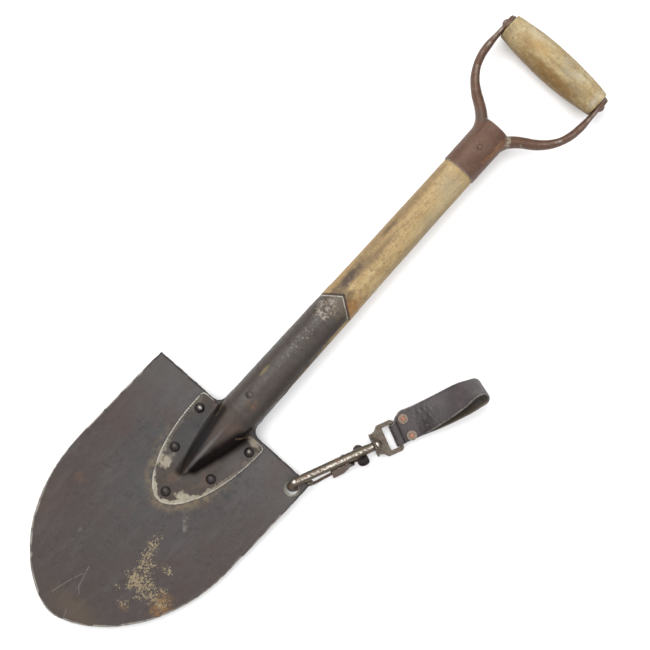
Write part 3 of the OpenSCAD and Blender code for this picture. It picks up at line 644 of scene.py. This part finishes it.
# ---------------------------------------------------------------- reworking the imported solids

def value_noise(p, seed):
    """Smooth noise from -1 to 1 at many points, with one lattice point to a unit."""
    cell = np.floor(p).astype(np.int64)
    part = p - cell
    part = part * part * (3 - 2 * part)
    total = np.zeros(len(p))
    for corner in itertools.product((0, 1), repeat=3):
        c = cell + np.array(corner)
        h = (c[:, 0] * 73856093) ^ (c[:, 1] * 19349663) ^ (c[:, 2] * 83492791) ^ (seed * 668265263)
        h = ((h ^ (h >> 13)) * 1274126177) & 0x7FFFFFFF
        h = (h ^ (h >> 15)) & 0xFFFF
        weight = np.prod(np.where(np.array(corner) == 1, part, 1 - part), axis=1)
        total += weight * (h / 32767.5 - 1)
    return total


def ripple(p, size, octaves=3, seed=1, stretch=(1, 1, 1)):
    """Layers of noise, each half the size and half the height of the one before."""
    q = p / (size * np.array(stretch, float))
    return sum(value_noise(q * 2 ** k, seed + k) / 2 ** k for k in range(octaves))


def step_up(value, low, high):
    """0 up to low, 1 from high on, smooth between them."""
    t = np.clip((value - low) / (high - low), 0, 1)
    return t * t * (3 - 2 * t)


def apply_modifiers(piece):
    graph = bpy.context.evaluated_depsgraph_get()
    mesh = bpy.data.meshes.new_from_object(piece.evaluated_get(graph))
    piece.modifiers.clear()
    old = piece.data
    piece.data = mesh
    bpy.data.meshes.remove(old)


def points_of(mesh):
    flat = np.empty(len(mesh.vertices) * 3, np.float32)
    mesh.vertices.foreach_get("co", flat)
    return flat.reshape(-1, 3).astype(float) / MM


def normals_of(mesh):
    flat = np.empty(len(mesh.vertices) * 3, np.float32)
    mesh.vertex_normals.foreach_get("vector", flat)
    return flat.reshape(-1, 3).astype(float)


def move_points(mesh, points):
    mesh.vertices.foreach_set("co", (points * MM).astype(np.float32).ravel())
    mesh.update()


def set_attribute(mesh, name, values):
    layer = mesh.attributes.new(name, "FLOAT", "POINT")
    layer.data.foreach_set("value", np.asarray(values, np.float32))


def set_wear_and_shade(mesh, size):
    """How far each point stands proud of, or lies below, its surroundings."""
    points, normals = points_of(mesh), normals_of(mesh)
    around = neighbours(mesh)
    mean = points
    for _ in range(3):
        mean = averaged(mean, *around)
    height = np.einsum("ij,ij->i", points - mean, normals) / size
    set_attribute(mesh, "convex", np.clip(height, 0, 1))
    set_attribute(mesh, "hollow", np.clip(-height, 0, 1))


def neighbours(mesh):
    """Both ends of every edge, and how many edges meet at each point."""
    ends = np.empty(len(mesh.edges) * 2, np.int32)
    mesh.edges.foreach_get("vertices", ends)
    a, b = ends.reshape(-1, 2).T
    count = np.bincount(a, minlength=len(mesh.vertices)) + np.bincount(b, minlength=len(mesh.vertices))
    return a, b, count[:, None]


def averaged(points, a, b, count):
    """For each point, the mean of the points it has an edge with."""
    total = np.zeros_like(points)
    for axis in range(3):
        total[:, axis] = np.bincount(a, points[b, axis], len(points))
        total[:, axis] += np.bincount(b, points[a, axis], len(points))
    return total / count


def soften(mesh, weight, rounds):
    """Round off creases by averaging, by as much as weight(points) says."""
    a, b, count = neighbours(mesh)
    points = points_of(mesh)
    share = weight(points)[:, None]
    for _ in range(rounds):
        points += share * (averaged(points, a, b, count) - points)
    move_points(mesh, points)


def dress(name, node, body, material, grain, rounds=2, relief=None, more=None, soft=None):
    """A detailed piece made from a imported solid: an even mesh with soft edges and real unevenness.

    grain is the mesh's step in millimetres; relief(points) is how far the surface moves out at each point;
    more(mesh, points) adds attributes; soft is (where, rounds) for creases that are rounded off further.
    """
    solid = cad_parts[node]
    piece = bpy.data.objects.new(name, solid.data.copy())
    scene.collection.objects.link(piece)
    piece.data.materials.clear()
    modifier = piece.modifiers.new("even", "REMESH")
    modifier.mode = "VOXEL"
    modifier.voxel_size = grain * MM
    modifier = piece.modifiers.new("round", "SMOOTH")
    modifier.factor = 0.5
    modifier.iterations = rounds
    apply_modifiers(piece)
    mesh = piece.data
    if soft:
        soften(mesh, *soft)
    set_wear_and_shade(mesh, grain)
    points = points_of(mesh)
    if relief:
        move_points(mesh, points + normals_of(mesh) * relief(points)[:, None])
    if more:
        more(mesh, points)
    mesh.shade_smooth()
    mesh.materials.append(material)
    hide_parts(node)
    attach(piece, body)
    return piece


# ---------------------------------------------------------------- blade and socket

# The heart plate: y of its top, half its width, its length, the height of its corners and how far it leans
HEART_TOP = -227.4
HEART_HALF = 38.7
HEART_LONG = 103
HEART_CORNER = 4
LEAN = math.radians(1.8)
BLOCK = 20000  # points measured at a time


def heart_outline():
    """Sides and tip of the heart plate, in plan."""
    turns = np.radians(np.linspace(0, 180, 121))
    side = HEART_HALF * np.sign(np.cos(turns)) * np.abs(np.cos(turns)) ** 1.12
    down = -HEART_CORNER - (HEART_LONG - HEART_CORNER) * np.sin(turns) ** 0.93
    c, s = math.cos(-LEAN), math.sin(-LEAN)
    return np.column_stack([side * c - down * s, side * s + down * c + HEART_TOP])


def near_outline(points, outline):
    """Distance in plan from each point to the nearest point of an outline."""
    result = np.full(len(points), 1e9)
    for start in range(0, len(points), BLOCK):
        away = points[start:start + BLOCK, None, :2] - outline[None, :, :]
        result[start:start + BLOCK] = np.sqrt((away ** 2).sum(axis=2)).min(axis=1)
    return result


def in_heart(points):
    """Whether each point is inside the heart plate's outline, in plan."""
    down = (HEART_TOP - points[:, 1]) / HEART_LONG
    lean = points[:, 0] + (HEART_TOP - points[:, 1]) * math.tan(LEAN)
    width = HEART_HALF * (1 - np.clip(down, 0, 1) ** 2.15) ** (1 / 1.786)
    return (down > 0) & (down < 1) & (np.abs(lean) < width)


def blade_relief(p):
    return 0.30 * ripple(p, 42, 2, 3) + 0.08 * ripple(p, 9, 2, 5)


def blade_marks(mesh, p):
    """A halo of dirt on the blade round the heart plate."""
    gap = near_outline(p, heart_outline())
    low = step_up(-p[:, 1], 262, 300)
    halo = (1 - step_up(gap, 1.5, 11)) * low * ~in_heart(p)
    set_attribute(mesh, "halo", halo)


def socket_relief(p):
    """Uneven sheet, with a lip along the heart plate's outline."""
    gap = near_outline(p, heart_outline())
    on_plate = step_up(-p[:, 1], 226, 229)
    lip = 0.30 * (1 - step_up(gap, 0.8, 2.6)) * on_plate
    return 0.10 * ripple(p, 12, 3, 8) + lip


def socket_marks(mesh, p):
    gap = near_outline(p, heart_outline())
    on_plate = step_up(-p[:, 1], 225.5, 228)
    set_attribute(mesh, "rim", (1 - step_up(gap, 0.5, 1.5)) * on_plate)
    set_attribute(mesh, "near_rim", (1 - step_up(gap, 0.8, 10)) * on_plate)


def keel_soft(p):
    """Where the keel runs out into the plate and the socket."""
    down = step_up(-p[:, 1], 212, 224) * (1 - step_up(-p[:, 1], 306, 314))
    lean = p[:, 0] + (HEART_TOP - p[:, 1]) * math.tan(LEAN)
    return 0.5 * down * (1 - step_up(np.abs(lean), 22, 27))


socket_paint = socket_material()
# The two bright spots are painted highlights on the top pair of the plate's rivets
dark_rivet = steel_material(
    "dark_rivet", (0.050, 0.042, 0.040), (0.070, 0.045, 0.034), (0.42, 0.38, 0.34),
    shine=0.10, rust_level=0.55, seed=2.0, flecks_and_glints=[(-30.5, -240, 2.2, 1.0), (29.5, -240, 2.0, 0.45)],
)
pale_rivet = steel_material(
    "pale_rivet", (0.16, 0.13, 0.11), (0.12, 0.08, 0.06), (0.46, 0.42, 0.38),
    shine=0.40, rust_level=0.55, seed=7.0,
)
dress("blade_worn", "blade", "shovel", blade_material(), 1.0, relief=blade_relief, more=blade_marks)
dress("socket_worn", "socket_front", "shovel", socket_paint, 0.7, relief=socket_relief, more=socket_marks,
      soft=(keel_soft, 24))
dress("plate_rivets", "blade_rivets", "shovel", dark_rivet, 0.35, rounds=3,
      relief=lambda p: 0.10 * ripple(p, 3, 2, 11))
dress("strap_rivet_top", "strap_rivet_upper", "shovel", pale_rivet, 0.4,
      relief=lambda p: 0.08 * ripple(p, 3, 2, 12))
dress("strap_rivet_low", "strap_rivet_lower", "shovel", dark_rivet, 0.2,
      relief=lambda p: 0.15 + 0.06 * ripple(p, 3, 2, 13))


# ---------------------------------------------------------------- handle

shaft_wood = wood_material(
    "shaft_wood", 1, (0.51, 0.355, 0.162), (0.28, 0.185, 0.080), (0.68, 0.53, 0.28), (0.34, 0.225, 0.10), 3.0,
    stains_and_shade=[
        ((-9, -62), (7.5, 36), (0.080, 0.052, 0.042), 0.95), ((10, -82), (11, 18), (0.36, 0.165, 0.045), 0.9),
        ((-15, -68), (4, 32), (0.42, 0.25, 0.09), 0.6), ((-4, -30), (5, 36), (0.20, 0.13, 0.06), 0.6),
        ((9, 40), (7, 60), (0.66, 0.55, 0.33), 0.4), ((-2, -76), (18, 12), (0.10, 0.06, 0.035), 0.65),
        ((2, 60), (16, 20), (0.44, 0.37, 0.24), 0.5), ((-12, 15), (6, 85), (0.25, 0.16, 0.075), 0.8),
        ((14, 10), (4, 80), (0.32, 0.25, 0.14), 0.6), ((-11.6, -3), (3, 13), (0.13, 0.08, 0.042), 0.7),
        # Painted shade on the wood in the gap beside the socket's right strap
        ((20, -165), (24, 85), (0.055, 0.037, 0.028), 0.97),
    ],
    shadows=[((-18.2, -89.4), (-1.8, -76.6)), ((-1.8, -76.6), (16.4, -89.4))],
)
grip_wood = wood_material(
    "grip_wood", 0, (0.52, 0.395, 0.20), (0.30, 0.205, 0.088), (0.74, 0.64, 0.43), (0.36, 0.24, 0.10), 9.0,
    stains_and_shade=[
        # The first entry is painted shade along the grip's lower side
        ((6, 194), (54, 9), (0.25, 0.135, 0.036), 0.95), ((-30, 203), (16, 6), (0.30, 0.17, 0.06), 0.65),
        ((-18, 207), (20, 7), (0.52, 0.33, 0.12), 0.6), ((14, 206), (12, 6), (0.34, 0.30, 0.20), 0.6),
        ((24, 210), (9, 6), (0.52, 0.48, 0.36), 0.5), ((30, 201), (18, 6), (0.27, 0.19, 0.095), 0.7),
        ((-30, 214), (14, 6), (0.72, 0.62, 0.43), 0.6), ((8, 214), (9, 7), (0.44, 0.39, 0.28), 0.55),
        ((49, 204), (4, 10), (0.56, 0.50, 0.42), 0.5), ((-50, 200), (5, 9), (0.20, 0.13, 0.06), 0.5),
    ],
)
yoke_iron = yoke_material()


def shaft_relief(p):
    return 0.10 * ripple(p, 5, 3, 21, stretch=(1, 12, 1)) + 0.12 * ripple(p, 40, 2, 22)


def grip_relief(p):
    return 0.14 * ripple(p, 4, 3, 23, stretch=(10, 1, 1)) + 0.20 * ripple(p, 22, 2, 24)


def yoke_relief(p):
    """Uneven iron, with the arms a little fuller."""
    arms = step_up(p[:, 1], 128, 136) * (1 - step_up(p[:, 1], 178, 192))
    return 0.14 * ripple(p, 7, 3, 25) + 0.12 * ripple(p, 22, 2, 26) + 0.5 * arms


dress("shaft_worn", "shaft", "shovel", shaft_wood, 1.1, relief=shaft_relief)
dress("grip_worn", "grip", "shovel", grip_wood, 0.9, relief=grip_relief)
dress("yoke_forged", "yoke", "shovel", yoke_iron, 0.75, rounds=3, relief=yoke_relief)
dress("ferrule_rivet", "ferrule_pin", "shovel", yoke_iron, 0.4,
      relief=lambda p: 0.15 + 0.05 * ripple(p, 3, 2, 14))
dress("grip_rivet_rod", "grip_rod", "shovel", yoke_iron, 0.5, relief=lambda p: 0.06 * ripple(p, 3, 2, 15))


# ---------------------------------------------------------------- snap hook and swivel

# The two bright spots on the hook are painted highlights, at the top bar's end over the plate and at the nose's bend
hook_steel = steel_material(
    "hook_steel", (0.150, 0.124, 0.088), (0.165, 0.085, 0.048), (0.80, 0.74, 0.66),
    shine=0.95, seed=1.0, flecks_and_glints=[(111.4, -157.5, 3.4, 0.9), (77.5, -232, 2.8, 0.8)], side_shade=0.55,
)
# The two dark spots on the gate's thumb lobes are partly slate steel and partly painted shade under the bar
gate_steel = steel_material(
    "gate_steel", (0.090, 0.055, 0.038), (0.135, 0.062, 0.035), (0.50, 0.42, 0.36),
    shine=0.10, rust_level=0.45, seed=4.0, slate_and_shade=[(113.5, -177), (100.5, -171)],
)
swivel_steel = steel_material(
    "swivel_steel", (0.120, 0.096, 0.074), (0.140, 0.082, 0.052), (0.36, 0.32, 0.28),
    shine=0.25, rust_level=0.48, seed=6.0,
)
spring_steel = steel_material(
    "spring_steel", (0.10, 0.095, 0.09), (0.08, 0.05, 0.035), (0.30, 0.29, 0.28),
    shine=0.2, rust_level=0.6, seed=8.0,
)
# The hook's top bar in plan
BAR_FROM, BAR_TO = np.array([80.0, -229.0]), np.array([109.0, -162.0])


def hook_relief(p):
    """Uneven steel, with the top bar forged a little fuller."""
    run = BAR_TO - BAR_FROM
    along = np.clip((p[:, :2] - BAR_FROM) @ run / (run @ run), 0, 1)
    gap = np.linalg.norm(p[:, :2] - BAR_FROM - along[:, None] * run, axis=1)
    full = step_up(along, 0, 0.12) * (1 - step_up(along, 0.92, 1)) * (1 - step_up(gap, 4, 5.5))
    return 0.05 * ripple(p, 9, 2, 31) + 0.35 * full


dress("hook_forged", "hook_body", "hook", hook_steel, 0.4, rounds=3, relief=hook_relief)
dress("gate_folded", "hook_gate", "gate", gate_steel, 0.28, rounds=1,
      relief=lambda p: 0.03 * ripple(p, 5, 2, 32))
dress("gate_rivet", "gate_pin", "hook", pale_rivet, 0.25, rounds=1)
dress("swivel_stamped", "swivel_plate", "swivel", swivel_steel, 0.4,
      relief=lambda p: 0.05 * ripple(p, 5, 3, 33))
spring = dress("gate_leaf", "gate_spring", "hook", spring_steel, 0.15, rounds=1)
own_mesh(spring)


# ---------------------------------------------------------------- belt loop

dress("loop_copper", "loop_rivets", "loop", copper_material(), 0.25, relief=lambda p: 0.06 * ripple(p, 2, 2, 41))
dress("loop_rings", "loop_washers", "loop", washer_material(), 0.25, relief=lambda p: 0.04 * ripple(p, 2, 2, 42))

LOOP_LONG = 90
# Place along, turn about the length, height, shift across and width
LOOP_RUN = [
    (-4, 0, 0, 0, 21.5), (2.6, 0, 0, 0, 21.5), (5.5, 0, 0.1, 3, 26), (8, 0, 0.25, 4.5, 29), (15, 0, 0.25, 4.5, 29),
    (21.8, 9, 1, 4.2, 29), (35.5, 24, 6.1, 4.6, 29), (49, 31, 8.5, 5.2, 29), (67.3, 43, 11.3, 6.5, 29),
    (79.2, 60, 12.3, 6.8, 29), (LOOP_LONG, 62, 12.3, 6.8, 29),
]
# The middle of the bar in the loop's fold, and the way the loop runs from there
LOOP_AT = (120.420, -138.316, -14.009)
LOOP_ALONG = (0.4067, 0.9135)
LEATHER = 2.3
LAYER = LEATHER + 0.1
BAR_RADIUS = 2
FAR_RADIUS = 5.6
LINE_STEP = 0.7
EDGE_ROUND = 0.6
SPREAD = 6  # points of the line on each side that the loop's turn and width are averaged over


def loop_line():
    """The strap's middle line as (along, distance from the middle layer), from its hidden tab to its top end."""
    fold = BAR_RADIUS + LEATHER / 2
    far = LOOP_LONG - FAR_RADIUS - LEATHER / 2

    def arc(middle, radius, angles):
        return [(middle + radius * math.cos(a), radius * math.sin(a)) for a in np.radians(angles)]

    line = [(x, 0) for x in (18, 15, 12, 9)] + [(6.4, 0.5), (4.2, 1.7), (2, 2.8)]
    line += arc(0, fold, range(90, 271, 20))
    line += [(3, -fold), (6, -LAYER - 0.3), (9, -LAYER), (12, -LAYER), (15, -LAYER), (21.8, -2), (35.5, -3.7)]
    line += [(49, -4.9), (67.3, -6), (79, -5.9)]
    line += arc(far, FAR_RADIUS, np.linspace(-90, 90, 9))
    line += [(79, 5.9), (67.3, 6), (49, 4.9), (35.5, 3.7), (21.8, 2.2)]
    line += [(18, LAYER), (15, LAYER), (12, LAYER), (9, LAYER), (6.6, LAYER + 0.5), (4.4, LAYER + 1.6)]
    return np.array(line, float)


def even_line(line, step):
    """A smooth curve through the points, in even steps."""
    padded = np.vstack([line[0], line, line[-1]])
    fine = []
    for k in range(len(line) - 1):
        p, q, r, t = padded[k:k + 4]
        second, third = 2 * p - 5 * q + 4 * r - t, 3 * q - p - 3 * r + t
        for u in np.arange(0, 1, 0.05):
            fine.append(0.5 * (2 * q + (r - p) * u + second * u ** 2 + third * u ** 3))
    fine = np.array(fine + [line[-1]])
    run = np.concatenate([[0], np.cumsum(np.linalg.norm(np.diff(fine, axis=0), axis=1))])
    at = np.linspace(0, run[-1], int(run[-1] / step))
    return np.column_stack([np.interp(at, run, fine[:, 0]), np.interp(at, run, fine[:, 1])])


def strap_section():
    """Points round the strap's section: across from -1 to 1, through from -1 to 1, and the rounding at its edges."""
    across = np.linspace(-1, 1, 41)
    turn = np.radians(np.linspace(90, -90, 9))[1:-1]
    top = [(a, 1.0, 0.0) for a in across]
    right = [(1.0, math.sin(t), math.cos(t)) for t in turn]
    bottom = [(-a, -1.0, 0.0) for a in across]
    left = [(-1.0, math.sin(-t), math.cos(t)) for t in turn]
    return np.array(top + right + bottom + left)


def make_strap():
    line = even_line(loop_line(), LINE_STEP)
    table = np.array(LOOP_RUN, float)
    span = 2 * SPREAD + 1
    turn, lift, shift, width = (
        np.convolve(
            np.pad(np.interp(line[:, 0], table[:, 0], table[:, k]), SPREAD, mode="edge"),
            np.ones(span) / span, mode="valid",
        )
        for k in (1, 2, 3, 4)
    )
    tangent = np.gradient(line, axis=0)
    tangent /= np.linalg.norm(tangent, axis=1)[:, None]
    section = strap_section()
    count = len(section)
    outward = np.abs(section[:, 0])
    points, marks = [], {"crease": [], "edge": [], "border": [], "inside": []}
    for k, (x, n) in enumerate(line):
        half = width[k] / 2 - EDGE_ROUND
        a = section[:, 0] * half + np.sign(section[:, 0]) * section[:, 2] * EDGE_ROUND
        b = section[:, 1] * LEATHER / 2 - 0.16 * np.sign(section[:, 1]) * step_up(outward, 0.9, 1)
        # Puckers and two creases on the upper layer beyond the rivets
        side = np.column_stack([np.full(count, x), a, np.full(count, n * 3.0)])
        fold = step_up(x, 17, 23) * (1 - step_up(x, 34, 50)) * step_up(n, 0.6, 1.8)
        pucker = 0.26 * fold * ripple(side, 4, 3, 51, stretch=(1, 1.4, 1))
        pucker += 0.12 * step_up(x, 14, 24) * ripple(side, 14, 2, 52)
        pucker -= 0.28 * fold * np.exp(-((x - 27 - 0.25 * a) / 1.5) ** 2)
        pucker -= 0.20 * fold * np.exp(-((x - 36 + 0.3 * a) / 1.4) ** 2)
        out = b + pucker * np.where(outward > 0.97, 0.4, 1.0)
        along = x + tangent[k, 1] * out
        away = n - tangent[k, 0] * out
        c, s = math.cos(math.radians(turn[k])), math.sin(math.radians(turn[k]))
        y = shift[k] + a * c + away * s
        z = lift[k] - a * s + away * c
        points.append(np.column_stack([
            LOOP_AT[0] + along * LOOP_ALONG[0] - y * LOOP_ALONG[1],
            LOOP_AT[1] + along * LOOP_ALONG[1] + y * LOOP_ALONG[0],
            LOOP_AT[2] + z,
        ]))
        marks["crease"].append(np.full(count, fold))
        marks["edge"].append(step_up(outward, 0.93, 0.99))
        marks["border"].append(step_up(outward, 0.72, 0.94))
        marks["inside"].append((section[:, 1] < 0) * step_up(x, 20, 40))
    rings = len(line)
    faces = []
    for k in range(rings - 1):
        for i in range(count):
            j = (i + 1) % count
            faces.append((k * count + i, k * count + j, (k + 1) * count + j, (k + 1) * count + i))
    faces.append(tuple(range(count - 1, -1, -1)))
    faces.append(tuple((rings - 1) * count + i for i in range(count)))
    mesh = bpy.data.meshes.new("belt_strap")
    mesh.from_pydata((np.vstack(points) * MM).tolist(), [], faces)
    mesh.update()
    for name, values in marks.items():
        set_attribute(mesh, name, np.concatenate(values))
    mesh.shade_smooth()
    mesh.materials.append(leather_material())
    strap = bpy.data.objects.new("belt_strap", mesh)
    scene.collection.objects.link(strap)
    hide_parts("belt_loop")
    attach(strap, "loop")


make_strap()


# ---------------------------------------------------------------- floor

FLOOR_HALF = 25  # metres


def make_floor():
    s = Shader("floor_paper")
    s.relief((s.noise(3, 3.0), 0.02))
    colour = s.ramp(s.noise(60, 3.0), (0.3, (0.90 / TONE,) * 3), (0.7, (0.92 / TONE,) * 3))
    material = s.finish(colour, 0.85, 0.0, 0.2)
    mesh = bpy.data.meshes.new("floor")
    low = cad_box[0][2]
    corners = [(FLOOR_HALF * x, FLOOR_HALF * y, low) for x, y in ((-1, -1), (1, -1), (1, 1), (-1, 1))]
    mesh.from_pydata(corners, [], [(0, 1, 2, 3)])
    mesh.materials.append(material)
    floor = bpy.data.objects.new("floor", mesh)
    scene.collection.objects.link(floor)


make_floor()
